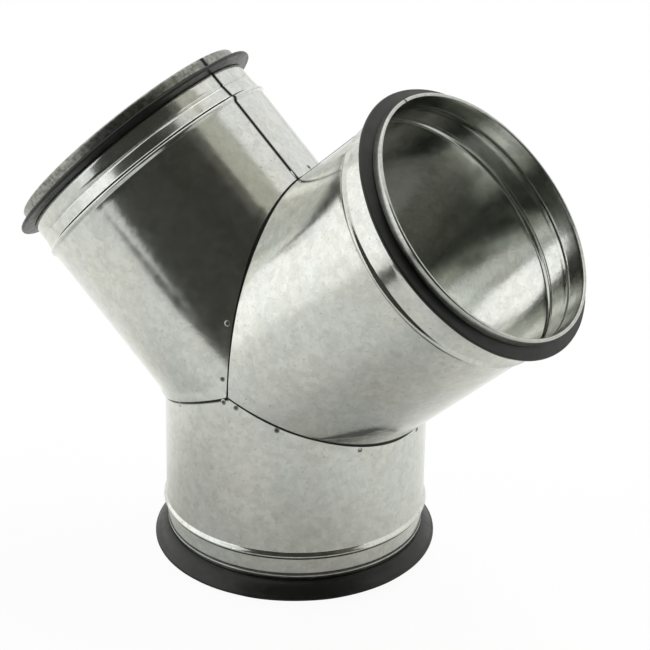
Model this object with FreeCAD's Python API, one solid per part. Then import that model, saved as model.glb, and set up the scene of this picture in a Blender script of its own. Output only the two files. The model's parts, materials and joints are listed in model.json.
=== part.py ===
"""Symmetric Y branch for round ventilation duct: three mitred legs of rolled sheet, each with a lip seal.

The part stands on the trunk's rim: the trunk's axis is +Z, both branches lie in the XZ plane, and the origin
is the centre of the trunk's rim. A place along a leg is measured from that leg's rim, back to the junction.
"""

import FreeCAD
import Part
import math
import os

# Duct that each end plugs into, and the sheet that the legs are rolled from
DUCT_BORE = 200.0
SPIGOT_PLAY = 0.5
SHEET = 0.6

# Layout, from the point where the three axes meet to each rim
HALF_ANGLE = 47.0
TRUNK_LENGTH = 162.0
BRANCH_LENGTH = 207.0

# Stop bead, which the duct runs up against
BEAD_FROM_RIM = 38.0
BEAD_HEIGHT = 2.2
BEAD_HALF_WIDTH = 3.0
BEAD_CREST_RADIUS = 1.5

# Spigot, which tapers from the bead and steps down to the seal's seat, and the rim, folded outwards into
# a hem over the seal's foot
SPIGOT_TAPER = 1.0
SEAT_LENGTH = 18.5
SEAT_DEPTH = 2.4
STEP_LENGTH = 3.5
HEM_LENGTH = 5.0
HEM_SET_BACK = 0.15

# Lip seal
SEAL_CLEARANCE = 0.05
SEAL_END_GAP = 0.5
LIP_ROOT_FROM_EDGE = 0.5
LIP_ROOT_FROM_HEM = 1.0
LIP_REACH = 9.4
LIP_SWEEP = 8.7
LIP_EDGE_WIDTH = 2.8
LIP_EDGE_RADIUS = 1.0

# Longitudinal lap seam of each leg: a pressed strip that stands a little proud of the sheet
SEAM_WIDTH = 7.0
SEAM_RISE = 0.35

# Mitre joints: a joggled flange of one leg lies inside its neighbour's edge
MITRE_GAP = 0.9
LAP_WIDTH = 7.0
LAP_CLEARANCE = 0.05
LAP_RELIEF = 2.5

# Derived sizes
TUBE_RADIUS = DUCT_BORE / 2 - SPIGOT_PLAY
TUBE_INNER = TUBE_RADIUS - SHEET
SEAT_RADIUS = TUBE_RADIUS - SEAT_DEPTH
SEAT_INNER = SEAT_RADIUS - SHEET
HEM_RADIUS = TUBE_RADIUS - HEM_SET_BACK
HEM_INNER = HEM_RADIUS - SHEET
FOLD_RADIUS = (HEM_RADIUS - SEAT_INNER) / 2
FLANGE_RADIUS = TUBE_INNER - LAP_CLEARANCE
BEYOND = 2 * TUBE_RADIUS
FAR = 4 * (TRUNK_LENGTH + BRANCH_LENGTH)
TOUCHING = 1e-6

AXIS = FreeCAD.Vector(0, 0, 1)
ACROSS = FreeCAD.Vector(0, 1, 0)
JUNCTION = FreeCAD.Vector(0, 0, TRUNK_LENGTH)


class Leg:
    """One of the three legs: how far it leans from +Z towards +X, its length and where its lap seam runs."""

    def __init__(self, name, lean, length, seam_turn):
        self.name = name
        self.lean = lean
        self.length = length
        self.seam_turn = seam_turn
        angle = math.radians(lean)
        self.axis = FreeCAD.Vector(math.sin(angle), 0, math.cos(angle))

    def place(self, shape):
        """Carries a shape from the leg's own frame, with its axis as +Z, to the part's frame."""
        turn = FreeCAD.Rotation(ACROSS, self.lean)
        shape.Placement = FreeCAD.Placement(JUNCTION, turn).multiply(shape.Placement)
        return shape


TRUNK = Leg("trunk", 180.0, TRUNK_LENGTH, 90.0)
LEFT = Leg("left", -HALF_ANGLE, BRANCH_LENGTH, 0.0)
RIGHT = Leg("right", HALF_ANGLE, BRANCH_LENGTH, 180.0)
LEGS = (TRUNK, LEFT, RIGHT)


def unit(vector):
    """The vector at length 1."""
    return vector / vector.Length


def offset(outline, distance):
    """An open outline moved sideways, away from the airway, by the same distance all along."""
    points = [point for point, _ in outline]
    sides = [ACROSS.cross(unit(b - a)) for a, b in zip(points, points[1:])]
    moved = [(points[0] + sides[0] * distance, 0)]
    for (point, radius), before, after in zip(outline[1:], sides, sides[1:]):
        turn = before.cross(after).dot(ACROSS)
        corner = point + (before + after) * (distance / (1 + before.dot(after)))
        moved.append((corner, radius - math.copysign(distance, turn) if radius else 0))
    moved.append((points[-1] + sides[-1] * distance, 0))
    return moved


def edges_of(outline):
    """Lines through an outline's corners, with an arc in each corner that has a radius."""
    edges = []
    last = outline[0][0]
    for (before, _), (corner, radius), (after, _) in zip(outline, outline[1:], outline[2:]):
        start = end = corner
        if radius:
            back, on = unit(before - corner), unit(after - corner)
            half = back.getAngle(on) / 2
            start, end = corner + back * (radius / math.tan(half)), corner + on * (radius / math.tan(half))
            middle = corner + unit(back + on) * (radius / math.sin(half) - radius)
        if last.distanceToPoint(start) > TOUCHING:
            edges.append(Part.LineSegment(last, start).toShape())
        if radius:
            edges.append(Part.Arc(start, middle, end).toShape())
        last = end
    edges.append(Part.LineSegment(last, outline[-1][0]).toShape())
    return edges


def section(edges, length):
    """Face inside edges given from the rim, carried to the rim of a leg that long."""
    face = Part.Face(Part.Wire(Part.__sortEdges__(edges)))
    face.translate(AXIS * length)
    return face


def strip_section(outline, near, far, length):
    """Section between two offsets of one outline."""
    low, high = offset(outline, near), offset(outline, far)
    ends = [Part.LineSegment(low[i][0], high[i][0]).toShape() for i in (0, -1)]
    return section(edges_of(low) + edges_of(high) + ends, length)


def at(radius, from_rim):
    """A point of a leg's section, with the rim at zero and the junction below it."""
    return FreeCAD.Vector(radius, 0, -from_rim)


def body_outline(length):
    """Corners of the airway's face from beyond the junction, over the stop bead, to the end of the spigot."""
    return [
        (at(TUBE_INNER, length + BEYOND), 0),
        (at(TUBE_INNER, BEAD_FROM_RIM + BEAD_HALF_WIDTH), 0),
        (at(TUBE_INNER + BEAD_HEIGHT, BEAD_FROM_RIM), BEAD_CREST_RADIUS),
        (at(TUBE_INNER, BEAD_FROM_RIM - BEAD_HALF_WIDTH), 0),
        (at(TUBE_INNER - SPIGOT_TAPER, SEAT_LENGTH + STEP_LENGTH), 0),
    ]


def rim_outline():
    """Corners of the airway's face along the seal's seat, round the folded rim and back over the hem."""
    return [
        (at(SEAT_INNER, SEAT_LENGTH), 0),
        (at(SEAT_INNER, 0), FOLD_RADIUS),
        (at(HEM_RADIUS, 0), FOLD_RADIUS),
        (at(HEM_RADIUS, HEM_LENGTH), 0),
    ]


def seal_section(length):
    """Section of the lip seal: a band on the seat, with its foot under the hem, and a thick tapering lip."""
    inner = SEAT_RADIUS + SEAL_CLEARANCE
    band = HEM_INNER - SEAL_CLEARANCE
    far = SEAT_LENGTH - SEAL_END_GAP
    root = far - LIP_ROOT_FROM_EDGE
    edge = TUBE_RADIUS + LIP_REACH
    outline = [
        (at(inner, FOLD_RADIUS), 0),
        (at(inner, far), 0),
        (at(band, far), 0),
        (at(band, root), 0),
        (at(edge, root - LIP_SWEEP + LIP_EDGE_WIDTH / 2), LIP_EDGE_RADIUS),
        (at(edge, root - LIP_SWEEP - LIP_EDGE_WIDTH / 2), LIP_EDGE_RADIUS),
        (at(band, HEM_LENGTH + LIP_ROOT_FROM_HEM), 0),
        (at(band, FOLD_RADIUS), 0),
    ]
    return section(edges_of(outline + outline[:1]), length)


def revolve(face, degrees=360.0):
    """Turns a section about its leg's axis."""
    return face.revolve(FreeCAD.Vector(), AXIS, degrees)


def prism(corners):
    """A block that is wide across the part, over an outline in the XZ plane given about the junction."""
    points = [corner + JUNCTION - ACROSS * BEYOND for corner in corners]
    return Part.Face(Part.makePolygon(points + points[:1])).extrude(ACROSS * 2 * BEYOND)


def mitre_line(leg, neighbour):
    """Direction, away from the junction, of the plane that halves the angle between two legs."""
    return unit(leg.axis + neighbour.axis)


def towards(leg, neighbour):
    """Direction across the two legs' mitre plane, from the leg into its neighbour."""
    return unit(neighbour.axis - leg.axis)


def territory(leg, setbacks):
    """The space between a leg's two mitre planes, each set back into the leg by its own distance."""
    (first, first_back), (second, second_back) = setbacks
    one, two = towards(first, leg), towards(second, leg)
    share = one.dot(two)
    scale = 1 - share * share
    apex = one * (first_back - share * second_back) + two * (second_back - share * first_back)
    apex = apex / scale
    ends = [apex + mitre_line(leg, first) * FAR, apex + mitre_line(leg, second) * FAR]
    return prism([apex, ends[0], ends[0] + leg.axis * FAR, ends[1] + leg.axis * FAR, ends[1]])


def pipe(leg, outer, inner):
    """A plain tube about a leg's axis, long enough to cross every mitre."""
    start = -AXIS * BEYOND
    length = leg.length + BEYOND
    tube = Part.makeCylinder(outer, length, start, AXIS).cut(Part.makeCylinder(inner, length, start, AXIS))
    return leg.place(tube)


def lap_flange(leg, neighbour):
    """The joggle at a mitre and the flange beyond it, which lies against the inside of the neighbour."""
    line = mitre_line(leg, neighbour)
    into = towards(leg, neighbour)
    near, far = line * LAP_RELIEF, line * FAR
    inner = FLANGE_RADIUS - SHEET
    step = pipe(leg, TUBE_RADIUS, inner).common(prism([near, far, far - into * SHEET, near - into * SHEET]))
    slant = neighbour.axis * (LAP_WIDTH / neighbour.axis.dot(into))
    outline = [near, far, far + into * LAP_WIDTH, near + slant]
    strip = pipe(neighbour, FLANGE_RADIUS, inner).common(prism(outline))
    return [step, strip]


def sheet_leg(leg, neighbours, laps_into):
    """A rolled sheet leg, cut at its mitres, with its lap seam and a flange into each leg that it laps into."""
    body = body_outline(leg.length)
    tube = revolve(strip_section(body + rim_outline(), 0, SHEET, leg.length))
    width = math.degrees(SEAM_WIDTH / TUBE_RADIUS)
    seam = revolve(strip_section(body, SHEET, SHEET + SEAM_RISE, leg.length), width)
    seam.rotate(FreeCAD.Vector(), AXIS, leg.seam_turn - width / 2)
    wall = leg.place(tube.fuse(seam))
    setbacks = [(other, 0 if other in laps_into else MITRE_GAP) for other in neighbours]
    wall = wall.common(territory(leg, setbacks))
    pieces = [piece for other in laps_into for piece in lap_flange(leg, other)]
    return wall.fuse(pieces).removeSplitter() if pieces else wall


def lip_seal(leg):
    """The rubber seal on a leg's spigot."""
    return leg.place(revolve(seal_section(leg.length)))


def build():
    """Every piece by its node's name."""
    nodes = {
        "trunk_leg": sheet_leg(TRUNK, (LEFT, RIGHT), ()),
        "left_leg": sheet_leg(LEFT, (TRUNK, RIGHT), (TRUNK,)),
        "right_leg": sheet_leg(RIGHT, (TRUNK, LEFT), (TRUNK, LEFT)),
    }
    for leg in LEGS:
        nodes[f"{leg.name}_seal"] = lip_seal(leg)
    return nodes


def main():
    os.makedirs("parts", exist_ok=True)
    for name, shape in build().items():
        state = "valid" if shape.isValid() else "not valid"
        print(name, len(shape.Solids), "solid,", state, round(shape.Volume))
        shape.Solids[0].exportStep(f"parts/{name}.step")


main()
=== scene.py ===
"""Looks of a symmetric Y branch for round ventilation duct.

Three rolled sheet legs meet in mitred joints, and a rubber lip seal sits on each spigot. A piece is made in
its leg's own frame, with the junction at the origin and the leg's axis as +Z, and is then carried to the
part's frame. An angle about a leg counts from +X of the leg's frame towards +Y. Lengths are in metres.
"""

import json
import logging
import math
from dataclasses import dataclass, field
from enum import Enum
from typing import ClassVar

import bmesh
import bpy
from mathutils import Matrix, Vector, noise


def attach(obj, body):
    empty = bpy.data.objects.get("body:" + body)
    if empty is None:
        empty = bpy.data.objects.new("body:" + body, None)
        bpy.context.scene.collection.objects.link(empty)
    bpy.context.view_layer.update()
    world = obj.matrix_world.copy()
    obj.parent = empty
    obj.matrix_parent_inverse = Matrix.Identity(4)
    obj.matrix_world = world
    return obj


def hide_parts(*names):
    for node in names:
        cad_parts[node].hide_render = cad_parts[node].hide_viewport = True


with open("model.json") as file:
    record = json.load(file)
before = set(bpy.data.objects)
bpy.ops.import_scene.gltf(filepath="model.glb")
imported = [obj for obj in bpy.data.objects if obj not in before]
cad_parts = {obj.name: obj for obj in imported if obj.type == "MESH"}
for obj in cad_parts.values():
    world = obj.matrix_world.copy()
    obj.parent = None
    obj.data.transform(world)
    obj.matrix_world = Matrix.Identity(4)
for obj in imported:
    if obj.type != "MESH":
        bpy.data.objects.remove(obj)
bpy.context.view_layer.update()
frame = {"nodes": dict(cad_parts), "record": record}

LOG = logging.getLogger("y_branch")
MOUNTS = {mount["name"]: mount for mount in frame["record"]["mounts"]}
ACROSS = Vector((0, 1, 0))
AXIS = Vector((0, 0, 1))
ORIGIN = Vector((0, 0, 0))
WELD_DISTANCE = 1e-6


class LegName(Enum):
    """The three legs."""

    TRUNK = "trunk"
    LEFT = "left"
    RIGHT = "right"


class Slot(Enum):
    """The record's material slots."""

    SHEET = "galvanised_sheet"
    RUBBER = "seal_rubber"


class Mark(Enum):
    """Vertex attributes that a finish reads."""

    # Painted shade: darkens the sheet where the lap seam, the ring groove and the mitre gaps would lie in
    # shadow.
    GRIME = "grime"
    HEM = "hem"
    # Where the painted shade under a knocked line falls, and how strong it is.
    SCUFF = "scuff"
    RUB = "rub"
    SCORCH = "scorch"


def ease(share: float) -> float:
    """Smooth step from 0 to 1 over a share that is cut off at both ends."""
    share = min(max(share, 0.0), 1.0)
    return share * share * (3 - 2 * share)


def turned(angle: float) -> Vector:
    """Direction at an angle about a leg's axis, in the leg's own frame."""
    return Vector((math.cos(angle), math.sin(angle), 0))


def angle_between(angle: float, other: float) -> float:
    """Signed turn from one angle to another, between -pi and pi."""
    return math.remainder(angle - other, 2 * math.pi)


@dataclass(frozen=True)
class LegFrame:
    """Where a packed leg lies.

    Fields: its name, the point where the three axes meet, its axis away from that point, and the rim's place
    along it.
    """

    name: LegName
    junction: Vector
    axis: Vector
    length: float

    @classmethod
    def packed(cls, name: LegName) -> "LegFrame":
        """Reads a leg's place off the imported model.

        Args:
            name: Which leg.
        Returns:
            The leg's frame.
        """
        branch = MOUNTS["left_spigot"]
        start, lean = Vector(branch["pos_m"]), Vector(branch["axis"])
        junction = start - lean * (start.x / lean.x)
        axis = Vector(MOUNTS[f"{name.value}_spigot"]["axis"])
        node = frame["nodes"][f"{name.value}_leg"]
        length = max((vertex.co - junction).dot(axis) for vertex in node.data.vertices)
        return cls(name, junction, axis, length)

    @property
    def matrix(self) -> Matrix:
        """Carries the leg's own frame to the part's frame."""
        turn = Matrix((ACROSS.cross(self.axis), ACROSS, self.axis)).transposed()
        return Matrix.Translation(self.junction) @ turn.to_4x4()

    def own(self, direction: Vector) -> Vector:
        """A direction of the part's frame, in the leg's own frame."""
        return self.matrix.to_3x3().transposed() @ direction


class Profile:
    """A section drawn in the XZ plane of a bmesh, point after point."""

    def __init__(self, mesh: bmesh.types.BMesh, radius: float, along: float) -> None:
        """Starts the section at a point."""
        self.mesh = mesh
        self.start = self.end = mesh.verts.new((radius, 0, along))

    def line(self, radius: float, along: float, pieces: int = 1) -> None:
        """Draws a straight run.

        Args:
            radius: Where it ends, off the axis.
            along: Where it ends, along the axis.
            pieces: How many edges it has.
        """
        start, goal = self.end.co.copy(), Vector((radius, 0, along))
        for step in range(1, pieces + 1):
            self.end = bmesh.ops.extrude_vert_indiv(self.mesh, verts=[self.end])["verts"][0]
            self.end.co = start.lerp(goal, step / pieces)

    def curve(self, control: Vector, goal: Vector, pieces: int) -> None:
        """Draws a curved run that bends towards a control point.

        Args:
            control: Point that pulls the curve, as radius and place along the axis.
            goal: Where it ends, in the same way.
            pieces: How many edges it has.
        """
        start = self.end.co.xz
        for step in range(1, pieces + 1):
            share = step / pieces
            self.line(*start.lerp(control, share).lerp(control.lerp(goal, share), share))

    def arc(self, radius: float, along: float, degrees: float, steps: int) -> None:
        """Draws an arc about a centre.

        Args:
            radius: The centre's distance off the axis.
            along: The centre's place along the axis.
            degrees: How far it turns, from the axis's end outwards.
            steps: How many edges it has.
        """
        made = bmesh.ops.spin(self.mesh, geom=[self.end], cent=(radius, 0, along), axis=ACROSS,
                              angle=math.radians(degrees), steps=steps, use_duplicate=False)
        self.end = next(item for item in made["geom_last"] if isinstance(item, bmesh.types.BMVert))

    def close(self) -> None:
        """Joins the last point to the first."""
        self.mesh.edges.new((self.end, self.start))


def everything(mesh: bmesh.types.BMesh) -> list:
    """All vertices, edges and faces of a bmesh."""
    return mesh.verts[:] + mesh.edges[:] + mesh.faces[:]


def close_ring(mesh: bmesh.types.BMesh) -> None:
    """Merges what meets after a turn and points the faces outwards."""
    bmesh.ops.remove_doubles(mesh, verts=mesh.verts, dist=WELD_DISTANCE)
    bmesh.ops.recalc_face_normals(mesh, faces=mesh.faces)


def full_turn(mesh: bmesh.types.BMesh, steps: int) -> None:
    """Turns a section right round its axis and closes the ring."""
    bmesh.ops.spin(mesh, geom=everything(mesh), cent=ORIGIN, axis=AXIS, angle=2 * math.pi, steps=steps,
                   use_merge=True)
    close_ring(mesh)


def thicken(mesh: bmesh.types.BMesh, sheet: float) -> None:
    """Gives an outer face the thickness of its sheet, inwards."""
    bmesh.ops.recalc_face_normals(mesh, faces=mesh.faces)
    bmesh.ops.solidify(mesh, geom=mesh.faces[:], thickness=-sheet)
    bmesh.ops.recalc_face_normals(mesh, faces=mesh.faces)


def placed(mesh: bmesh.types.BMesh, name: str, finish: bpy.types.Material) -> bpy.types.Object:
    """Makes an object of a bmesh, which it frees.

    Args:
        mesh: The object's mesh, in the part's frame.
        name: The object's name.
        finish: Its material.
    Returns:
        The object.
    """
    data = bpy.data.meshes.new(name)
    mesh.to_mesh(data)
    mesh.free()
    data.materials.append(finish)
    piece = bpy.data.objects.new(name, data)
    bpy.context.scene.collection.objects.link(piece)
    return piece


def finished(mesh: bmesh.types.BMesh, name: str, finish: bpy.types.Material) -> bpy.types.Object:
    """Makes a piece of a bmesh, dresses it and lets it ride on the part.

    Args:
        mesh: The piece's mesh, in the part's frame. It is freed.
        name: The piece's name.
        finish: Its material.
    Returns:
        The piece.
    """
    for face in mesh.faces:
        face.smooth = True
    piece = placed(mesh, name, finish)
    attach(piece, "root")
    LOG.info("%s: %d faces", name, len(piece.data.polygons))
    return piece


@dataclass(frozen=True)
class Grain:
    """Cloudy noise: its scale in cycles to the metre, its detail and how rough that detail is."""

    scale: float
    detail: float = 2.0
    roughness: float = 0.5


@dataclass(frozen=True)
class Ramp:
    """A range of values and the range that it is carried to."""

    low: float
    high: float
    to_low: float = 0.0
    to_high: float = 1.0


class Bench:
    """A material's node tree, with short ways to add nodes to it."""

    def __init__(self, name: str) -> None:
        """Starts a material with a plain shader."""
        self.material = bpy.data.materials.new(name)
        self.material.use_nodes = True
        self.tree = self.material.node_tree
        self.shader = self.tree.nodes["Principled BSDF"]
        self.place = self.tree.nodes.new("ShaderNodeTexCoord").outputs["Object"]

    def add(self, kind: str, inputs: dict, **settings: object) -> bpy.types.Node:
        """Adds a node.

        Args:
            kind: The node's type.
            inputs: A value or another node's output for each named or numbered input.
            settings: The node's own properties.
        Returns:
            The node.
        """
        node = self.tree.nodes.new(kind)
        for name, value in settings.items():
            setattr(node, name, value)
        self.feed(node, inputs)
        return node

    def feed(self, node: bpy.types.Node, inputs: dict) -> None:
        """Sets a node's inputs to values or to other nodes' outputs."""
        for name, value in inputs.items():
            if isinstance(value, bpy.types.NodeSocket):
                self.tree.links.new(value, node.inputs[name])
            else:
                node.inputs[name].default_value = value

    def grain(self, grain: Grain) -> bpy.types.NodeSocket:
        """Cloudy noise between 0 and 1."""
        values = {"Vector": self.place, "Scale": grain.scale, "Detail": grain.detail}
        return self.add("ShaderNodeTexNoise", values | {"Roughness": grain.roughness}).outputs["Fac"]

    def crystals(self, scale: float) -> bpy.types.NodeSocket:
        """A random colour for each crystal of a field, in crystals to the metre."""
        return self.add("ShaderNodeTexVoronoi", {"Vector": self.place, "Scale": scale}).outputs["Color"]

    def scaled(self, value: bpy.types.NodeSocket, ramp: Ramp) -> bpy.types.NodeSocket:
        """A value carried from one range to another and held inside it."""
        span = {"From Min": ramp.low, "From Max": ramp.high, "To Min": ramp.to_low, "To Max": ramp.to_high}
        return self.add("ShaderNodeMapRange", {"Value": value} | span).outputs["Result"]

    def sum(self, first: bpy.types.NodeSocket,
            second: bpy.types.NodeSocket | float) -> bpy.types.NodeSocket:
        """Two values added."""
        return self.add("ShaderNodeMath", {0: first, 1: second}, operation="ADD").outputs[0]

    def product(self, first: bpy.types.NodeSocket,
                second: bpy.types.NodeSocket | float) -> bpy.types.NodeSocket:
        """Two values multiplied."""
        return self.add("ShaderNodeMath", {0: first, 1: second}, operation="MULTIPLY").outputs[0]

    def blend(self, share: bpy.types.NodeSocket | float, first: object,
              second: object) -> bpy.types.NodeSocket:
        """One colour turned into another by a share.

        Args:
            share: 0 for the first colour, 1 for the second.
            first: A colour or an output.
            second: A colour or an output.
        Returns:
            The mixed colour.
        """
        node = self.add("ShaderNodeMix", {}, data_type="RGBA")
        sockets = {socket.identifier: socket for socket in node.inputs}
        for name, value in (("Factor_Float", share), ("A_Color", first), ("B_Color", second)):
            if isinstance(value, bpy.types.NodeSocket):
                self.tree.links.new(value, sockets[name])
            else:
                sockets[name].default_value = value
        return next(socket for socket in node.outputs if socket.identifier == "Result_Color")

    def mark(self, mark: Mark) -> bpy.types.NodeSocket:
        """The piece's own vertex attribute."""
        return self.add("ShaderNodeAttribute", {}, attribute_name=mark.value).outputs["Fac"]

    def bumps(self, height: bpy.types.NodeSocket, depth: float,
              under: bpy.types.NodeSocket | None = None) -> bpy.types.NodeSocket:
        """A normal bent by a height.

        Args:
            height: The height, between 0 and 1.
            depth: The real height of 1.
            under: A normal that is bent already.
        Returns:
            The normal.
        """
        inputs = {"Height": height, "Distance": depth}
        if under is not None:
            inputs["Normal"] = under
        return self.add("ShaderNodeBump", inputs).outputs["Normal"]


@dataclass(frozen=True)
class GalvanisedFinish:
    """Zinc on rolled sheet: fine spangle, blotches, flecks, a crushed hem, painted shade in joints, grooves
    and knocks.
    """

    light: tuple = (0.715, 0.725, 0.68, 1)
    dark: tuple = (0.56, 0.57, 0.53, 1)
    cool: tuple = (0.60, 0.645, 0.635, 1)
    warm: tuple = (0.67, 0.655, 0.585, 1)
    fleck: tuple = (0.83, 0.84, 0.80, 1)
    pit: tuple = (0.43, 0.435, 0.395, 1)
    speck: tuple = (0.22, 0.22, 0.20, 1)
    crushed: tuple = (0.17, 0.175, 0.15, 1)
    # Colour of the painted shade in the joints, the grooves and the band under a knocked line.
    grime: tuple = (0.006, 0.006, 0.005, 1)
    crystals: float = 190.0
    crystal_share: float = 0.25
    blotches: Grain = Grain(105.0, 3.0, 0.6)
    tones: Ramp = Ramp(0.32, 0.68)
    tints: Grain = Grain(16.0)
    tint_ramp: Ramp = Ramp(0.4, 0.6)
    tint_share: float = 0.3
    fine: Grain = Grain(330.0, 2.0, 0.6)
    flecks: Ramp = Ramp(0.58, 0.74, 0.0, 0.4)
    pits: Ramp = Ramp(0.42, 0.26, 0.0, 0.45)
    dots: Grain = Grain(520.0, 1.0)
    specks: Ramp = Ramp(0.73, 0.77, 0.0, 0.6)
    crush: Grain = Grain(300.0, 2.0, 0.6)
    crush_ramp: Ramp = Ramp(0.35, 0.65, 0.6, 1.0)
    # Painted shade under a knocked line: it rises just under the line and fades out part way to the edge.
    knock_shade_start: Ramp = Ramp(0.0, 0.05, 0.0, 0.82)
    knock_shade_end: Ramp = Ramp(0.48, 0.62, 1.0, 0.0)
    bare: Ramp = Ramp(0.0, 1.0, 1.0, 0.0)
    polish: Ramp = Ramp(0.3, 0.7, 0.125, 0.165)
    hem_roughness: float = 0.14
    crystal_roughness: float = 0.02
    painted_shade_roughness: float = 0.5
    ripple: Grain = Grain(210.0, 3.0)
    ripple_height: float = 0.00004
    hem_height: float = 0.00001

    def zinc(self, bench: Bench, tone: bpy.types.NodeSocket) -> bpy.types.NodeSocket:
        """Colours the clean zinc.

        Args:
            bench: The material's node tree.
            tone: How pale the zinc is, from blotches and crystals.
        Returns:
            The colour.
        """
        colour = bench.blend(bench.scaled(tone, self.tones), self.dark, self.light)
        tint = bench.blend(bench.scaled(bench.grain(self.tints), self.tint_ramp), self.cool, self.warm)
        colour = bench.blend(self.tint_share, colour, tint)
        fine = bench.grain(self.fine)
        colour = bench.blend(bench.scaled(fine, self.flecks), colour, self.fleck)
        colour = bench.blend(bench.scaled(fine, self.pits), colour, self.pit)
        return bench.blend(bench.scaled(bench.grain(self.dots), self.specks), colour, self.speck)

    def painted_knock_shade(self, bench: Bench) -> bpy.types.NodeSocket:
        """How strongly painted shade darkens the band under a knocked line, between 0 and 1."""
        below = bench.mark(Mark.SCUFF)
        dark = bench.product(bench.scaled(below, self.knock_shade_start), bench.scaled(below, self.knock_shade_end))
        return bench.product(dark, bench.mark(Mark.RUB))

    def material(self) -> bpy.types.Material:
        """Builds the finish.

        Returns:
            The material.
        """
        bench = Bench("galvanised_sheet")
        blotch = bench.grain(self.blotches)
        crystal = bench.add("ShaderNodeSeparateColor", {"Color": bench.crystals(self.crystals)}).outputs
        tone = bench.product(blotch, 1 - self.crystal_share)
        tone = bench.sum(tone, bench.product(crystal["Red"], self.crystal_share))
        folded = bench.mark(Mark.HEM)
        hem = bench.product(folded, bench.scaled(bench.grain(self.crush), self.crush_ramp))
        # Painted shade in the joints, grooves and under the knocked line: near-black, rougher and not
        # metallic.
        grime = bench.sum(bench.mark(Mark.GRIME), self.painted_knock_shade(bench))
        colour = bench.blend(hem, self.zinc(bench, tone), self.crushed)
        colour = bench.blend(grime, colour, self.grime)
        roughness = bench.scaled(blotch, self.polish)
        for share, extra in ((folded, self.hem_roughness), (crystal["Green"], self.crystal_roughness),
                             (grime, self.painted_shade_roughness)):
            roughness = bench.sum(roughness, bench.product(share, extra))
        normal = bench.bumps(bench.grain(self.ripple), self.ripple_height)
        normal = bench.bumps(hem, self.hem_height, normal)
        bench.feed(bench.shader, {"Base Color": colour, "Roughness": roughness, "Normal": normal})
        bench.feed(bench.shader, {"Metallic": bench.scaled(grime, self.bare)})
        return bench.material


@dataclass(frozen=True)
class RubberFinish:
    """Black moulded rubber with a satin skin and a little dust."""

    black: tuple = (0.008, 0.008, 0.007, 1)
    dusty: tuple = (0.018, 0.018, 0.015, 1)
    clouds: Grain = Grain(60.0, 4.0, 0.6)
    dust: Ramp = Ramp(0.35, 0.75)
    patches: Grain = Grain(140.0, 3.0)
    satin: Ramp = Ramp(0.3, 0.7, 0.32, 0.44)
    skin: Grain = Grain(900.0, 3.0, 0.6)
    skin_height: float = 0.00002
    sheen: float = 0.4

    def material(self) -> bpy.types.Material:
        """Builds the finish.

        Returns:
            The material.
        """
        bench = Bench("seal_rubber")
        colour = bench.blend(bench.scaled(bench.grain(self.clouds), self.dust), self.black, self.dusty)
        roughness = bench.scaled(bench.grain(self.patches), self.satin)
        normal = bench.bumps(bench.grain(self.skin), self.skin_height)
        bench.feed(bench.shader, {"Base Color": colour, "Roughness": roughness, "Normal": normal})
        bench.feed(bench.shader, {"Specular IOR Level": self.sheen})
        return bench.material


@dataclass(frozen=True)
class WeldFinish:
    """A spot weld's pressed crater, tinted by heat towards its middle."""

    zinc: tuple = (0.60, 0.60, 0.56, 1)
    burnt: tuple = (0.05, 0.048, 0.042, 1)
    patches: Grain = Grain(900.0, 3.0, 0.7)
    scorch: Ramp = Ramp(0.3, 0.7, 0.75, 1.0)
    crust: Ramp = Ramp(0.0, 1.0, 0.3, 0.55)
    ripple: Grain = Grain(1400.0, 2.0)
    ripple_height: float = 0.00003

    def material(self) -> bpy.types.Material:
        """Builds the finish.

        Returns:
            The material.
        """
        bench = Bench("weld_scorch")
        share = bench.product(bench.mark(Mark.SCORCH), bench.scaled(bench.grain(self.patches), self.scorch))
        colour = bench.blend(share, self.zinc, self.burnt)
        normal = bench.bumps(bench.grain(self.ripple), self.ripple_height)
        bench.feed(bench.shader, {"Base Color": colour, "Normal": normal, "Metallic": 1.0})
        bench.feed(bench.shader, {"Roughness": bench.scaled(share, self.crust)})
        return bench.material


@dataclass(frozen=True)
class SheetSizes:
    """Sizes of a leg's sheet, given on its outer face and counted from the rim."""

    radius: float = 0.0995
    sheet: float = 0.0006
    bead_from_rim: float = 0.038
    bead_height: float = 0.0019
    bead_half_width: float = 0.0034
    taper: float = 0.001
    groove_from_rim: float = 0.0212
    groove_half_width: float = 0.0007
    groove_depth: float = 0.0005
    shoulder_from_rim: float = 0.0174
    shoulder_drop: float = 0.0007
    seat_from_rim: float = 0.0167
    hem_length: float = 0.0075

    @property
    def hem_radius(self) -> float:
        """Outside of the hem, as packed."""
        return MOUNTS["trunk_spigot"]["dims"]["r_mm"] / 1000

    @property
    def seat_radius(self) -> float:
        """Outside of the sheet along the seal's seat, as packed."""
        return MOUNTS["trunk_mouth"]["dims"]["r_mm"] / 1000 + self.sheet

    @property
    def fold_radius(self) -> float:
        """Inside of the fold between the seat and the hem."""
        return (self.hem_radius - self.sheet - self.seat_radius) / 2


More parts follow.
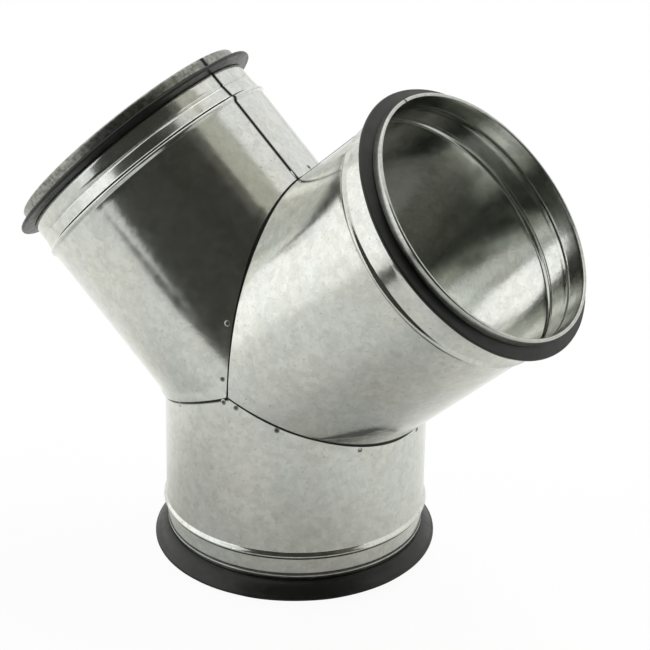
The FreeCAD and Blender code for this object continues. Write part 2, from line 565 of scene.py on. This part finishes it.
@dataclass(frozen=True)
class Mitre:
    """One of a leg's two mitre joints, seen from that leg.

    Fields: the leg and its neighbour, how far the sheet's edge stands back from the mitre plane, how much
    that wanders, how far the edge springs off the tube over the width of the lap, and, for an edge that
    springs on one part of the joint only, the middle of that part and how far it reaches to both sides, as
    angles about the leg. The last is the width of the painted shade along the edge, a dark band that stands
    in for the shadow of the joint's gap.
    """

    WAVES: ClassVar[float] = 2.2
    WAVE_SEED: ClassVar[float] = 1e4
    NEAR_SPRING: ClassVar[float] = 0.2
    PAINTED_SHADE_SPREAD: ClassVar[float] = 1.5

    leg: LegFrame
    neighbour: LegFrame
    setback: float
    wander: float
    spring: float
    lap: float = 0.008
    middle: float | None = None
    reach: float = math.pi / 2
    grime: float = 0.0
    normal: Vector = field(init=False)

    def __post_init__(self) -> None:
        """Works out the direction across the mitre plane into the neighbour, in the leg's own frame."""
        object.__setattr__(self, "normal", self.leg.own((self.neighbour.axis - self.leg.axis).normalized()))

    def distance(self, point: Vector) -> float:
        """How far a point of the leg lies from the mitre plane, in the leg's own frame."""
        return -self.normal.dot(point)

    def along(self, radius: float, angle: float, distance: float) -> float:
        """Where a line of the tube comes within a distance of the mitre plane.

        Args:
            radius: The tube's radius.
            angle: The line's angle about the leg.
            distance: The distance from the mitre plane.
        Returns:
            The place along the leg's axis.
        """
        return -(distance + radius * self.normal.dot(turned(angle))) / self.normal.z

    def edge(self, radius: float, angle: float) -> float:
        """Where a line of the tube ends at the sheet's uneven edge, along the leg's axis."""
        around = self.WAVES * turned(angle)
        uneven = noise.noise(around + AXIS * self.WAVE_SEED * self.setback)
        return self.along(radius, angle, self.setback + self.wander * uneven)

    @property
    def side(self) -> float:
        """Angle about the leg of the joint's far side, a quarter turn from where the three legs meet."""
        return math.atan2(self.normal.y, self.normal.x)

    def lift(self, point: Vector, angle: float) -> float:
        """How far the sprung edge stands off the tube at a point."""
        share = 1 - self.distance(point) / self.lap
        if self.middle is None:
            far = max(0.0, math.cos(angle - self.side))
            return self.spring * ease(share) * (self.NEAR_SPRING + (1 - self.NEAR_SPRING) * far)
        return self.spring * max(0.0, share - abs(angle_between(angle, self.middle)) / self.reach)

    def painted_shade_at(self, point: Vector) -> float:
        """How strongly painted shade darkens the sheet by its edge at a point, between 0 and 1."""
        if not self.grime:
            return 0.0
        return ease(self.PAINTED_SHADE_SPREAD - (self.distance(point) - self.setback) / self.grime)


@dataclass(frozen=True)
class Crease:
    """A faint line that rolling left along a leg.

    Fields: its angle about the leg, its half width and depth, and where along the leg it starts and ends.
    """

    FADE: ClassVar[float] = 0.02

    angle: float
    half_width: float
    depth: float
    start: float
    end: float

    def depth_at(self, radius: float, angle: float, along: float) -> float:
        """How deep the crease is at a point of the tube."""
        across = radius * angle_between(angle, self.angle) / self.half_width
        fade = ease((along - self.start) / self.FADE) * ease((self.end - along) / self.FADE)
        return self.depth * fade * math.exp(-across * across)


@dataclass(frozen=True)
class Knock:
    """A knocked edge: the sheet is pushed in between its mitred edge and a bent line above it.

    Fields: the mitre, the line's points as an angle in degrees and a distance from the mitre plane, the angle
    at its peak, the depth just under the line, and the width of the step there. Past the peak, the push and
    the band of painted shade under the line fade over so many degrees; that painted shade stands in for the
    shadow of the pushed-in step.
    """

    EDGE_SHARE: ClassVar[float] = 0.25
    FULL_HEIGHT: ClassVar[float] = 0.018
    PAST_PEAK: ClassVar[float] = 2.0
    PUSH_FADE: ClassVar[float] = 12.0
    # Degrees over which the painted shade under the line fades past the peak.
    KNOCK_SHADE_FADE: ClassVar[float] = 7.0
    PINCH: ClassVar[float] = 0.42
    PINCH_FADE: ClassVar[float] = 3.0

    mitre: Mitre
    line: tuple[tuple[float, float], ...]
    peak: float
    depth: float
    step: float

    def top(self, angle: float) -> float:
        """Distance of the line from the mitre plane at an angle."""
        degrees = math.degrees(angle)
        for (first, low), (second, high) in zip(self.line, self.line[1:]):
            if first <= degrees <= second:
                return low + (high - low) * (degrees - first) / (second - first)
        return 0.0

    def depth_at(self, point: Vector, angle: float) -> float:
        """How deep the sheet is pushed in at a point."""
        top = self.top(angle)
        away = self.mitre.distance(point)
        if not 0 < away < top:
            return 0.0
        depth = self.depth * ease((top - away) / self.step) * ease(top / self.FULL_HEIGHT)
        depth *= self.EDGE_SHARE + (1 - self.EDGE_SHARE) * away / top
        return depth * self.fade(angle, self.PUSH_FADE)

    def fade(self, angle: float, over: float) -> float:
        """Falls from 1 to 0 past the line's peak, over so many degrees."""
        return 1 - ease((math.degrees(angle) - self.peak - self.PAST_PEAK) / over)

    def below(self, point: Vector, angle: float) -> float:
        """How far a point lies from the line towards the edge, as a share, and further just past the peak."""
        top = self.top(angle)
        if top <= 0:
            return -1.0
        share = max(-1.0, 1 - self.mitre.distance(point) / top)
        if share <= 0:
            return share
        return share + self.PINCH * ease((math.degrees(angle) - self.peak) / self.PINCH_FADE)

    def rub(self, angle: float) -> float:
        """How strongly the band under the line is darkened with painted shade at an angle, between 0 and 1.
        """
        return self.fade(angle, self.KNOCK_SHADE_FADE)


@dataclass
class SheetLeg:
    """A rolled sheet leg with its stop bead, spigot, seal seat, hem, lap seam and mitred edge."""

    place: LegFrame
    mitres: tuple[Mitre, Mitre]
    seam_angle: float
    sizes: SheetSizes = field(default_factory=SheetSizes)
    creases: tuple[Crease, ...] = ()
    knocks: tuple[Knock, ...] = ()
    seed: float = 0.0
    hem_wear: float = 1.0
    # Strength of the painted shade in the ring groove above the seal.
    ring_painted_shade: float = 0.0
    rows: int = 56
    row_growth: float = 1.6
    coarse_steps: int = 300
    seam_half_width: float = 0.012
    seam_steps: int = 48
    groove_half_width: float = 0.0015
    groove_depth: float = 0.0012
    lap_rise: float = 0.0006
    joggle: float = 0.0034
    joggle_drop: float = 0.3
    ripple: float = 0.00028
    ripple_round: float = 0.045
    ripple_along: float = 0.16
    spigot_ripple: float = 0.35
    body_from_bead: float = 0.004
    body_fade: float = 0.02
    seam_past_seat: float = 0.004
    # Reach of the painted shade in the lap seam's groove, in groove half widths.
    seam_painted_shade: float = 1.9
    ring_spread: float = 1.2
    bead_pieces: int = 20

    def profile(self, mesh: bmesh.types.BMesh) -> None:
        """Draws the sheet's outer face from the junction to the end of the hem."""
        sizes, rim = self.sizes, self.place.length
        bead = rim - sizes.bead_from_rim
        line = Profile(mesh, sizes.radius, 0)
        for row in range(1, self.rows + 1):
            line.line(sizes.radius, self.foot * (row / self.rows) ** self.row_growth)
        for step in range(1, self.bead_pieces + 1):
            share = 2 * step / self.bead_pieces - 1
            rise = sizes.bead_height * math.cos(share * math.pi / 2) ** 2
            line.line(sizes.radius + rise, bead + share * sizes.bead_half_width)
        neck = Vector((sizes.radius - sizes.taper, rim - sizes.groove_from_rim))
        step = Vector((0, sizes.groove_half_width))
        line.line(*(neck - step), pieces=6)
        line.curve(neck - Vector((2 * sizes.groove_depth, 0)), neck + step, pieces=6)
        shoulder = Vector((neck.x - sizes.shoulder_drop, rim - sizes.shoulder_from_rim))
        line.line(*shoulder, pieces=4)
        seat = Vector((sizes.seat_radius, rim - sizes.seat_from_rim))
        line.curve(Vector((shoulder.x, seat.y)), seat, pieces=3)
        fold = rim - sizes.sheet - sizes.fold_radius
        line.line(sizes.seat_radius, fold, pieces=6)
        line.arc(sizes.seat_radius + sizes.fold_radius, fold, 180, steps=10)
        lip = line.end.co.x
        line.line(lip, rim - sizes.hem_length + sizes.sheet / 3, pieces=4)
        line.line(lip, rim - sizes.hem_length)

    @property
    def foot(self) -> float:
        """Where the bead starts, along the leg's axis."""
        return self.place.length - self.sizes.bead_from_rim - self.sizes.bead_half_width

    def mitred(self, mesh: bmesh.types.BMesh) -> None:
        """Draws the tube's rows out from the bead to the mitred edge."""
        for vertex in mesh.verts:
            if vertex.co.z < self.foot:
                angle = math.atan2(vertex.co.y, vertex.co.x)
                edge = max(mitre.edge(self.sizes.radius, angle) for mitre in self.mitres)
                vertex.co.z = edge + (self.foot - edge) * vertex.co.z / self.foot

    def sweep(self, mesh: bmesh.types.BMesh) -> None:
        """Turns the section round the leg, in finer steps along the lap seam."""
        half = self.seam_half_width / self.sizes.radius
        bmesh.ops.rotate(mesh, verts=mesh.verts, cent=ORIGIN,
                         matrix=Matrix.Rotation(self.seam_angle + half, 3, "Z"))
        geometry = everything(mesh)
        for angle, steps in ((2 * math.pi - 2 * half, self.coarse_steps), (2 * half, self.seam_steps)):
            geometry = bmesh.ops.spin(mesh, geom=geometry, cent=ORIGIN, axis=AXIS, angle=angle,
                                      steps=steps)["geom_last"]
        close_ring(mesh)

    def seam_lift(self, across: float) -> float:
        """Rise of the sheet beside the lap seam, which has its upper layer before the groove.

        Args:
            across: Distance round the tube from the seam.
        Returns:
            The rise off the tube.
        """
        groove = -self.groove_depth * max(0.0, 1 - abs(across) / self.groove_half_width)
        if across < 0:
            return groove + self.lap_rise * ease(1 + across / self.seam_half_width)
        return groove - self.joggle_drop * self.lap_rise * ease(1 - across / self.joggle)

    def lift(self, point: Vector) -> float:
        """Rise of a point off the plain section, from every feature that shapes the sheet by hand.

        Args:
            point: A point of the outer face, in the leg's own frame.
        Returns:
            The rise along the radius.
        """
        radius = self.sizes.radius
        angle = math.atan2(point.y, point.x)
        bead = self.place.length - self.sizes.bead_from_rim
        seat = self.place.length - self.sizes.seat_from_rim
        body = ease((bead - self.body_from_bead - point.z) / self.body_fade)
        around = point.xy / self.ripple_round
        drift = Vector((*around, point.z / self.ripple_along + self.seed))
        rise = self.ripple * noise.noise(drift) * (self.spigot_ripple + (1 - self.spigot_ripple) * body)
        spigot = ease((seat + self.seam_past_seat - point.z) / self.seam_past_seat)
        rise += spigot * self.seam_lift(radius * angle_between(angle, self.seam_angle))
        rise -= sum(crease.depth_at(radius, angle, point.z) for crease in self.creases)
        rise -= sum(knock.depth_at(point, angle) for knock in self.knocks)
        for mitre in self.mitres:
            rise += mitre.lift(point, angle)
        return rise

    def shape(self, mesh: bmesh.types.BMesh) -> None:
        """Gives the rolled sheet its unevenness, its lap seam and its marks: the crushed hem, and painted
        shade in the seam, the ring groove, the mitred edges and under the knocks.
        """
        marks = (Mark.GRIME, Mark.HEM, Mark.SCUFF, Mark.RUB)
        grime, hem, scuff, rub = (mesh.verts.layers.float.new(mark.value) for mark in marks)
        sizes, rim = self.sizes, self.place.length
        hem_start = rim - sizes.hem_length - sizes.sheet
        for vertex in mesh.verts:
            point = vertex.co.copy()
            out = Vector((point.x, point.y, 0)).normalized()
            angle = math.atan2(point.y, point.x)
            across = abs(sizes.radius * angle_between(angle, self.seam_angle))
            ring = abs(rim - sizes.groove_from_rim - point.z) / sizes.groove_half_width
            # Painted shade: the lap seam's groove, the ring groove and the mitred edges are darkened as if in
            # shadow.
            vertex[grime] = max(ease(self.seam_painted_shade - across / self.groove_half_width),
                                self.ring_painted_shade * ease(self.ring_spread - ring),
                                *(mitre.painted_shade_at(point) for mitre in self.mitres))
            folded = point.z > hem_start and point.xy.length > sizes.seat_radius
            vertex[hem] = self.hem_wear if folded else 0.0
            # Where the painted shade under a knocked line falls, and how strong it is.
            vertex[scuff] = max((knock.below(point, angle) for knock in self.knocks), default=-1.0)
            vertex[rub] = max((knock.rub(angle) for knock in self.knocks), default=0.0)
            vertex.co += out * self.lift(point)

    def build(self, finish: bpy.types.Material) -> bpy.types.Object:
        """Makes the leg.

        Args:
            finish: The sheet's material.
        Returns:
            The piece.
        """
        mesh = bmesh.new()
        self.profile(mesh)
        self.sweep(mesh)
        self.mitred(mesh)
        self.shape(mesh)
        thicken(mesh, self.sizes.sheet)
        bmesh.ops.transform(mesh, matrix=self.place.matrix, verts=mesh.verts)
        name = self.place.name.value
        piece = finished(mesh, f"{name}_sheet", finish)
        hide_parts(f"{name}_leg")
        return piece


@dataclass
class LapFlange:
    """The joggled flange of the next leg that lies inside a mitred edge and shows as the dark joint, with
    painted shade on its band by the gap.
    """

    mitre: Mitre
    sizes: SheetSizes = field(default_factory=SheetSizes)
    clearance: float = 0.00035
    tuck: float = 0.0012
    width: float = 0.007
    relief: float = 0.0006
    # Painted shade over the flange's band nearest the gap.
    painted_shade_width: float = 0.003
    painted_shade_spread: float = 1.5
    rows: int = 10
    steps: int = 150

    def build(self, finish: bpy.types.Material) -> bpy.types.Object:
        """Makes the flange in the frame of the leg that covers it.

        Args:
            finish: The sheet's material.
        Returns:
            The piece.
        """
        mesh = bmesh.new()
        radius = self.sizes.radius - self.sizes.sheet - self.clearance
        half = math.pi / 2 - self.relief / radius
        Profile(mesh, radius, -self.tuck).line(radius, self.width, self.rows)
        bmesh.ops.rotate(mesh, verts=mesh.verts, cent=ORIGIN,
                         matrix=Matrix.Rotation(self.mitre.side - half, 3, "Z"))
        bmesh.ops.spin(mesh, geom=everything(mesh), cent=ORIGIN, axis=AXIS, angle=2 * half, steps=self.steps)
        # Painted shade: the band seen through the gap is darkened as if it lay in shadow.
        grime = mesh.verts.layers.float.new(Mark.GRIME.value)
        for vertex in mesh.verts:
            vertex[grime] = ease(self.painted_shade_spread - vertex.co.z / self.painted_shade_width)
            vertex.co.z = self.mitre.along(radius, math.atan2(vertex.co.y, vertex.co.x), vertex.co.z)
        thicken(mesh, self.sizes.sheet)
        bmesh.ops.transform(mesh, matrix=self.mitre.leg.matrix, verts=mesh.verts)
        name = f"{self.mitre.neighbour.name.value}_flange_in_{self.mitre.leg.name.value}"
        return finished(mesh, name, finish)


@dataclass
class LipSeal:
    """A rubber seal: a band on the seat with its foot under the hem, and a lip swept towards the rim."""

    place: LegFrame
    edge_from_rim: float
    seed: float
    droop: float = 0.0
    droop_angle: float = 0.0
    edge_radius: float = 0.1083
    sizes: SheetSizes = field(default_factory=SheetSizes)
    clearance: float = 0.00005
    end_gap: float = 0.0002
    root_from_hem: float = 0.0005
    edge: float = 0.0030
    edge_slack: float = 0.9
    back_hollow: tuple[float, float] = (0.004, 0.0012)
    front_hollow: tuple[float, float] = (0.003, 0.0005)
    wave: float = 0.0007
    wave_turns: float = 1.6
    flutter: float = 0.35
    flutter_turns: float = 5.0
    flutter_seed: float = 7.0
    steps: int = 360

    def profile(self, mesh: bmesh.types.BMesh) -> None:
        """Draws the seal's section: the band, the lip's hollow back, its edge and its front."""
        rim = self.place.length
        inner = self.sizes.seat_radius + self.clearance
        band = self.sizes.hem_radius - self.sizes.sheet - self.clearance
        far = rim - self.sizes.seat_from_rim + self.end_gap
        near = rim - self.sizes.sheet - self.sizes.fold_radius
        half = self.edge / 2
        middle = rim - self.edge_from_rim
        back, crest = Vector((band, far)), Vector((self.edge_radius, middle))
        front = Vector((band, rim - self.sizes.hem_length - self.root_from_hem))
        inwards, rimwards = Vector((-half, 0)), Vector((0, half))
        line = Profile(mesh, inner, near)
        line.line(inner, far, pieces=6)
        line.line(*back, pieces=2)
        line.curve(back + Vector(self.back_hollow), crest + inwards - rimwards, pieces=12)
        line.curve(crest - self.edge_slack * rimwards, crest, pieces=6)
        line.curve(crest + rimwards, crest + inwards + rimwards, pieces=6)
        line.curve(front + Vector(self.front_hollow) * Vector((1, -1)), front, pieces=10)
        line.line(band, near, pieces=5)
        line.close()

    def build(self, finish: bpy.types.Material) -> bpy.types.Object:
        """Makes the seal.

        Args:
            finish: The rubber's material.
        Returns:
            The piece.
        """
        mesh = bmesh.new()
        self.profile(mesh)
        full_turn(mesh, self.steps)
        band = self.sizes.hem_radius - self.sizes.sheet
        for vertex in mesh.verts:
            share = max(0.0, (vertex.co.xy.length - band) / (self.edge_radius - band))
            out = vertex.co.xy.normalized()
            sway = noise.noise(Vector((*(out * self.wave_turns), self.seed)))
            sway += self.flutter * noise.noise(Vector((*(out * self.flutter_turns),
                                                       self.seed + self.flutter_seed)))
            dip = self.droop * (1 + out.dot(turned(math.radians(self.droop_angle)).xy)) / 2
            vertex.co.z += (self.wave * sway + dip) * share * share
        bmesh.ops.transform(mesh, matrix=self.place.matrix, verts=mesh.verts)
        name = self.place.name.value
        piece = finished(mesh, f"{name}_lip_seal", finish)
        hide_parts(f"{name}_seal")
        return piece


@dataclass
class SpotWelds:
    """The spot welds that hold one lapped mitre."""

    mitre: Mitre
    angles: tuple[float, ...]
    from_edge: float = 0.0045
    sizes: SheetSizes = field(default_factory=SheetSizes)
    pit: float = 0.0014
    rim: float = 0.0024
    rise: float = 0.00012
    floor: float = 0.25
    brim_pull: tuple[float, float] = (1.15, 1.6)
    scorched: float = 0.7
    steps: int = 20

    def crater(self, spot: Matrix) -> bmesh.types.BMesh:
        """Makes one weld's crater.

        Args:
            spot: Carries the crater from the origin, opening along +Z, to its place.
        Returns:
            The crater's mesh.
        """
        mesh = bmesh.new()
        floor = self.floor * self.rise
        brim = Vector((self.pit, self.rise))
        line = Profile(mesh, 0, floor)
        line.curve(Vector((self.pit, floor)), brim, pieces=4)
        line.curve(brim * Vector(self.brim_pull), Vector((self.rim, -self.rise)), pieces=5)
        scorch = mesh.verts.layers.float.new(Mark.SCORCH.value)
        for vertex in mesh.verts:
            vertex[scorch] = ease((self.rim - vertex.co.x) / (self.rim - self.scorched * self.pit))
        full_turn(mesh, self.steps)
        bmesh.ops.transform(mesh, matrix=spot, verts=mesh.verts)
        return mesh

    def build(self, finish: bpy.types.Material) -> bpy.types.Object:
        """Makes the welds along the mitre.

        Args:
            finish: The welds' material.
        Returns:
            The piece.
        """
        whole = bmesh.new()
        scratch = bpy.data.meshes.new("crater")
        for angle in self.angles:
            out = turned(math.radians(angle))
            along = self.mitre.along(self.sizes.radius, math.radians(angle), self.from_edge)
            point = out * self.sizes.radius + AXIS * along
            point += out * self.mitre.lift(point, math.radians(angle))
            turn = out.to_track_quat("Z", "Y").to_matrix().to_4x4()
            crater = self.crater(self.mitre.leg.matrix @ Matrix.Translation(point) @ turn)
            crater.to_mesh(scratch)
            crater.free()
            whole.from_mesh(scratch)
        bpy.data.meshes.remove(scratch)
        name = f"{self.mitre.leg.name.value}_welds_to_{self.mitre.neighbour.name.value}"
        return finished(whole, name, finish)


@dataclass
class Studio:
    """The white floor, the soft light from the left, the dark room in front and the camera."""

    target: Vector
    azimuth: float = 29.957
    elevation: float = 25.760
    roll: float = 0.871
    distance: float = 1.791
    image: float = 650
    focal: float = 2374.98
    centre: tuple[float, float] = (297.244, 346.778)
    sensor: float = 36.0
    floor_colour: tuple = (0.80, 0.80, 0.78, 1)
    floor_reach: float = 6.0
    seen_white: float = 0.95
    mirrored_white: float = 0.03
    wall_warmth: float = 0.9
    wall_steps: int = 24

    def wall(self, name: str, span: tuple[float, float], section: tuple[tuple[float, float], ...],
             shade: float) -> None:
        """Stands a curved screen about the part, which shows only in reflections and shade.

        Args:
            name: The screen's name.
            span: The directions between which it stands, in degrees.
            section: Its section's points, as a distance from the part's axis and a height.
            shade: How pale it is.
        """
        mesh = bmesh.new()
        line = Profile(mesh, *section[0])
        for point in section[1:]:
            line.line(*point)
        first, last = (math.radians(azimuth - 90) for azimuth in span)
        bmesh.ops.rotate(mesh, verts=mesh.verts, cent=ORIGIN, matrix=Matrix.Rotation(first, 3, "Z"))
        bmesh.ops.spin(mesh, geom=everything(mesh), cent=ORIGIN, axis=AXIS, angle=last - first,
                       steps=self.wall_steps)
        bench = Bench(name)
        self.matt(bench, (shade, shade, self.wall_warmth * shade, 1))
        self.staged(mesh, name, bench.material).visible_camera = False

    @staticmethod
    def matt(bench: Bench, colour: tuple) -> None:
        """Gives a material a matt colour without any sheen."""
        bench.feed(bench.shader, {"Base Color": colour, "Roughness": 1.0, "Specular IOR Level": 0.0})

    @staticmethod
    def staged(mesh: bmesh.types.BMesh, name: str, finish: bpy.types.Material) -> bpy.types.Object:
        """Makes a piece of the studio, as placed() makes any object."""
        piece = placed(mesh, name, finish)
        return piece

    @staticmethod
    def direction(azimuth: float, elevation: float) -> Vector:
        """Direction away from the part, from -Y towards +X and up from the floor, in degrees."""
        turn, rise = math.radians(azimuth), math.radians(elevation)
        return Vector((math.sin(turn) * math.cos(rise), -math.cos(turn) * math.cos(rise), math.sin(rise)))

    def floor(self) -> None:
        """Lays the pale floor, which the camera sees as white with the part's shadow on it."""
        mesh = bmesh.new()
        bmesh.ops.create_grid(mesh, x_segments=1, y_segments=1, size=self.floor_reach)
        bench = Bench("floor")
        self.matt(bench, self.floor_colour)
        path = bench.add("ShaderNodeLightPath", {})
        white = bench.add("ShaderNodeEmission", {"Color": (1, 1, 1, 1), "Strength": 1.0})
        mirrored = bench.sum(path.outputs["Is Glossy Ray"], path.outputs["Is Transmission Ray"])
        share = bench.product(path.outputs["Is Camera Ray"], self.seen_white)
        share = bench.sum(share, bench.product(mirrored, self.mirrored_white))
        mixed = bench.add("ShaderNodeMixShader", {0: share, 1: bench.shader.outputs[0], 2: white.outputs[0]})
        bench.feed(bench.tree.nodes["Material Output"], {"Surface": mixed.outputs[0]})
        self.staged(mesh, "floor", bench.material)

    def lamp(self, name: str, size: tuple[float, float], power: float, place: Vector, aim: Vector,
             mirrored: bool = True) -> None:
        """Hangs a soft light about the part.

        Args:
            name: The light's name.
            size: Its width and height.
            power: Its power in watts.
            place: Where it hangs.
            aim: The point that it faces.
            mirrored: Whether the metal mirrors it, or it lights only the floor and the rubber.
        """
        light = bpy.data.lights.new(name, "AREA")
        light.shape = "RECTANGLE"
        light.size, light.size_y = size
        light.energy = power
        lamp = bpy.data.objects.new(name, light)
        turn = (place - aim).to_track_quat("Z", "Y").to_matrix().to_4x4()
        lamp.matrix_world = Matrix.Translation(place) @ turn
        lamp.visible_glossy = mirrored
        bpy.context.scene.collection.objects.link(lamp)

    def world(self) -> None:
        """Fills the room with white."""
        world = bpy.data.worlds.new("studio")
        world.use_nodes = True
        bpy.context.scene.world = world
        tree = world.node_tree
        background = tree.nodes["Background"]
        background.inputs["Color"].default_value = (1, 1, 1, 1)
        background.inputs["Strength"].default_value = 1.0

    def camera(self) -> None:
        """Sets the camera at the photograph's viewing angle and framing."""
        back = self.direction(self.azimuth, self.elevation)
        right = AXIS.cross(back).normalized()
        turn = Matrix((right, back.cross(right), back)).transposed()
        turn = turn @ Matrix.Rotation(math.radians(self.roll), 3, "Z")
        data = bpy.data.cameras.new("camera")
        data.sensor_width = self.sensor
        data.lens = self.focal / self.image * self.sensor
        data.shift_x = (self.image / 2 - self.centre[0]) / self.image
        data.shift_y = (self.centre[1] - self.image / 2) / self.image
        camera = bpy.data.objects.new("camera", data)
        camera.matrix_world = Matrix.Translation(self.target + back * self.distance) @ turn.to_4x4()
        bpy.context.scene.collection.objects.link(camera)
        bpy.context.scene.camera = camera

    def build(self) -> None:
        """Sets up the studio."""
        self.floor()
        self.world()
        room = ((1.7, 0.0), (1.7, 1.5), (0.85, 2.4))
        self.wall("front_mat", span=(-23, 86), section=((0.95, 0.002), (1.7, 0.002)), shade=0.07)
        self.wall("dark_room", span=(-15, 70), section=room, shade=0.07)
        self.wall("dim_side", span=(70, 88), section=room, shade=0.15)
        self.wall("grey_screen", span=(88, 127), section=((1.7, 1.3), *room[1:]), shade=0.75)
        part = self.target
        beside = 1.9 * self.direction(-66, 0)
        self.lamp("left_softbox", size=(2.9, 1.2), power=3.8, place=part + 1.6 * self.direction(-60, 14),
                  aim=part)
        self.lamp("left_floor", size=(0.8, 0.8), power=4.5, place=beside + AXIS, aim=beside, mirrored=False)
        self.lamp("overhead", size=(0.8, 0.8), power=1.1, place=part + 1.6 * self.direction(-160, 66),
                  aim=part)
        self.lamp("back_overhead", size=(1.0, 1.0), power=15.0, place=part + 1.7 * self.direction(170, 58),
                  aim=part, mirrored=False)
        self.camera()
        bpy.context.scene.view_settings.view_transform = "Standard"


def main() -> None:
    """Builds the part and its studio, piece by piece."""
    logging.basicConfig(level=logging.INFO, format="%(name)s %(message)s")
    trunk, left, right = (LegFrame.packed(name) for name in LegName)
    zinc = GalvanisedFinish().material()
    rubber = RubberFinish().material()
    scorched = WeldFinish().material()
    # The trunk's edge by the left leg gets a band of painted shade, as wide as given.
    trunk_left = Mitre(trunk, left, setback=0.0011, wander=0.0008, spring=0.0, grime=0.0011)
    trunk_right = Mitre(trunk, right, setback=0.0012, wander=0.0008, spring=0.0004, lap=0.0085,
                        middle=math.radians(-147), reach=math.radians(36))
    left_right = Mitre(left, right, setback=0.0009, wander=0.0008, spring=0.0004)
    left_trunk = Mitre(left, trunk, setback=0.0001, wander=0.0003, spring=0.0024, lap=0.009)
    right_trunk = Mitre(right, trunk, setback=0.0002, wander=0.0003, spring=-0.0002, lap=0.003)
    right_left = Mitre(right, left, setback=0.0003, wander=0.0003, spring=-0.0002, lap=0.003)
    bent_line = ((-52.5, 0.0), (-44.4, 0.0155), (-40.6, 0.0228), (-37.5, 0.0278), (-33.9, 0.0261),
                 (-24, 0.0214), (-18, 0.0))
    knock = Knock(right_trunk, bent_line, peak=-37.2, depth=0.0003, step=0.006)
    creases = (Crease(math.radians(-98), half_width=0.0035, depth=0.00014, start=0.03, end=0.13),
               Crease(math.radians(-128), half_width=0.003, depth=0.00010, start=0.09, end=0.16))
    left_sizes = SheetSizes(groove_from_rim=0.026, groove_depth=0.0004, shoulder_drop=0.0002,
                            shoulder_from_rim=0.0147, seat_from_rim=0.0140)
    right_sizes = SheetSizes(groove_depth=0.0, shoulder_drop=0.0002, bead_height=0.0015)
    legs = (
        # The trunk's ring groove gets painted shade.
        SheetLeg(trunk, (trunk_left, trunk_right), math.radians(90), seed=3.1, hem_wear=0.8,
                 ring_painted_shade=0.9, groove_half_width=0.0010),
        SheetLeg(left, (left_trunk, left_right), math.radians(-1.5), left_sizes, seed=11.7),
        SheetLeg(right, (right_trunk, right_left), math.pi, right_sizes, creases, (knock,), seed=5.3,
                 hem_wear=0.35, groove_half_width=0.0007, groove_depth=0.0004),
    )
    for leg in legs:
        leg.build(zinc)
    for mitre in (trunk_left, trunk_right, left_right):
        LapFlange(mitre).build(zinc)
    for seal in (LipSeal(trunk, edge_from_rim=0.0090, seed=1.0, droop=0.0044, droop_angle=-75),
                 LipSeal(left, edge_from_rim=0.0106, seed=2.0, sizes=left_sizes),
                 LipSeal(right, edge_from_rim=0.0116, seed=3.0, sizes=right_sizes)):
        seal.build(rubber)
    for welds in (SpotWelds(trunk_left, angles=(-60, -20, 25, 62, -88), from_edge=0.0030),
                  SpotWelds(trunk_right, angles=(-94, -112, -148, 175, 140, 105), from_edge=0.0032),
                  SpotWelds(left_right, angles=(-86, -68, 12, 45, 70))):
        welds.build(scorched)
    Studio(Vector(trunk.junction)).build()


if __name__ == "__main__":
    main()
